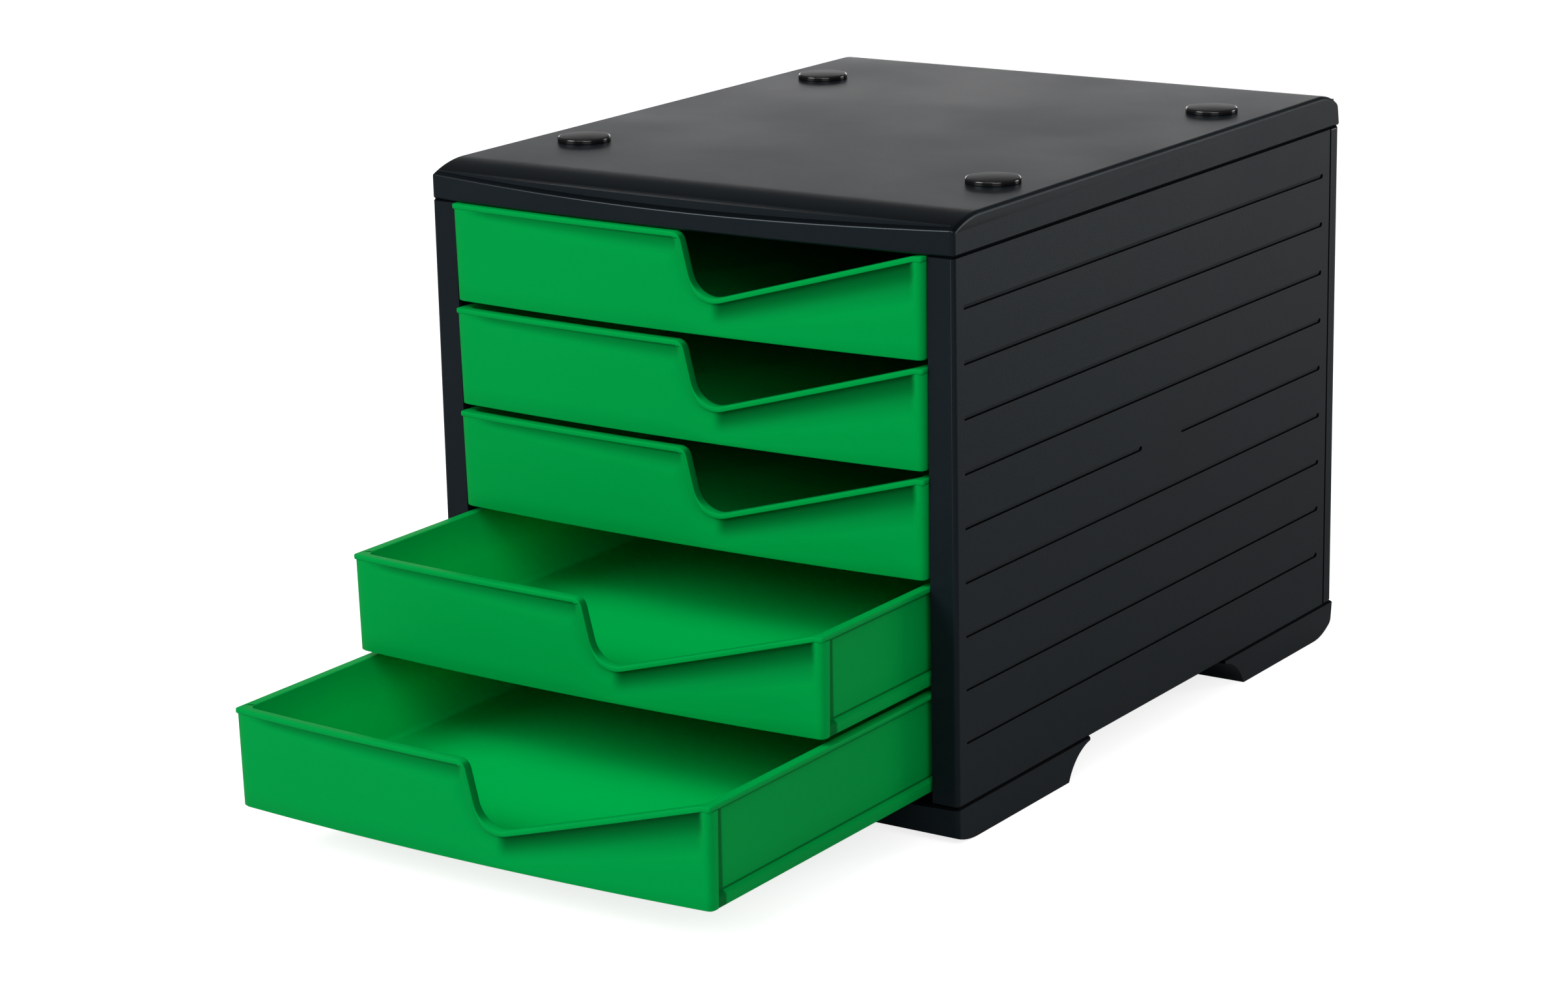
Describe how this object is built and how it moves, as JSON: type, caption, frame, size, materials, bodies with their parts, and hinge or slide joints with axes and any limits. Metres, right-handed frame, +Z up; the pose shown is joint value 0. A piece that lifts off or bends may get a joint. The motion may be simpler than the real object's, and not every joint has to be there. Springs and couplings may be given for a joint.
{
  "type": "file box with drawers",
  "caption": "Desktop file box: a ribbed housing on arched feet with bowed tray drawers that slide out of its front, each opened by a swept cut-out, and stacking caps on top.",
  "frame": {"origin": "bottom centre of the bounding box in the stored pose, with the feet on Z = 0", "axes": "+Z up, +X to the right as seen from the front, +Y from the front towards the back; the drawers pull out towards -Y"},
  "size_m": [0.27, 0.5195, 0.2717],
  "materials": {
    "housing": "fine grained matte",
    "drawer": "satin",
    "cap": "glossy"
  },
  "bodies": {
    "housing": {"top_cover": "housing", "front_foot": "housing", "floor_plate": "housing", "rear_foot": "housing", "left_side_panel": "housing", "right_side_panel": "housing", "back_panel": "housing", "stacking_caps": "cap"},
    "drawer_1": {"drawer_1": "drawer"},
    "drawer_2": {"drawer_2": "drawer"},
    "drawer_3": {"drawer_3": "drawer"},
    "drawer_4": {"drawer_4": "drawer"},
    "drawer_5": {"drawer_5": "drawer"}
  },
  "joints": [
    {"name": "drawer_1_slide", "type": "slide", "parent": "housing", "child": "drawer_1", "axis": [0, -1, 0], "range_m": [0, 0.25]},
    {"name": "drawer_2_slide", "type": "slide", "parent": "housing", "child": "drawer_2", "axis": [0, -1, 0], "range_m": [0, 0.25]},
    {"name": "drawer_3_slide", "type": "slide", "parent": "housing", "child": "drawer_3", "axis": [0, -1, 0], "range_m": [0, 0.25]},
    {"name": "drawer_4_slide", "type": "slide", "parent": "housing", "child": "drawer_4", "axis": [0, -1, 0], "range_m": [-0.0776, 0.1724]},
    {"name": "drawer_5_slide", "type": "slide", "parent": "housing", "child": "drawer_5", "axis": [0, -1, 0], "range_m": [-0.1583, 0.0917]}
  ]
}
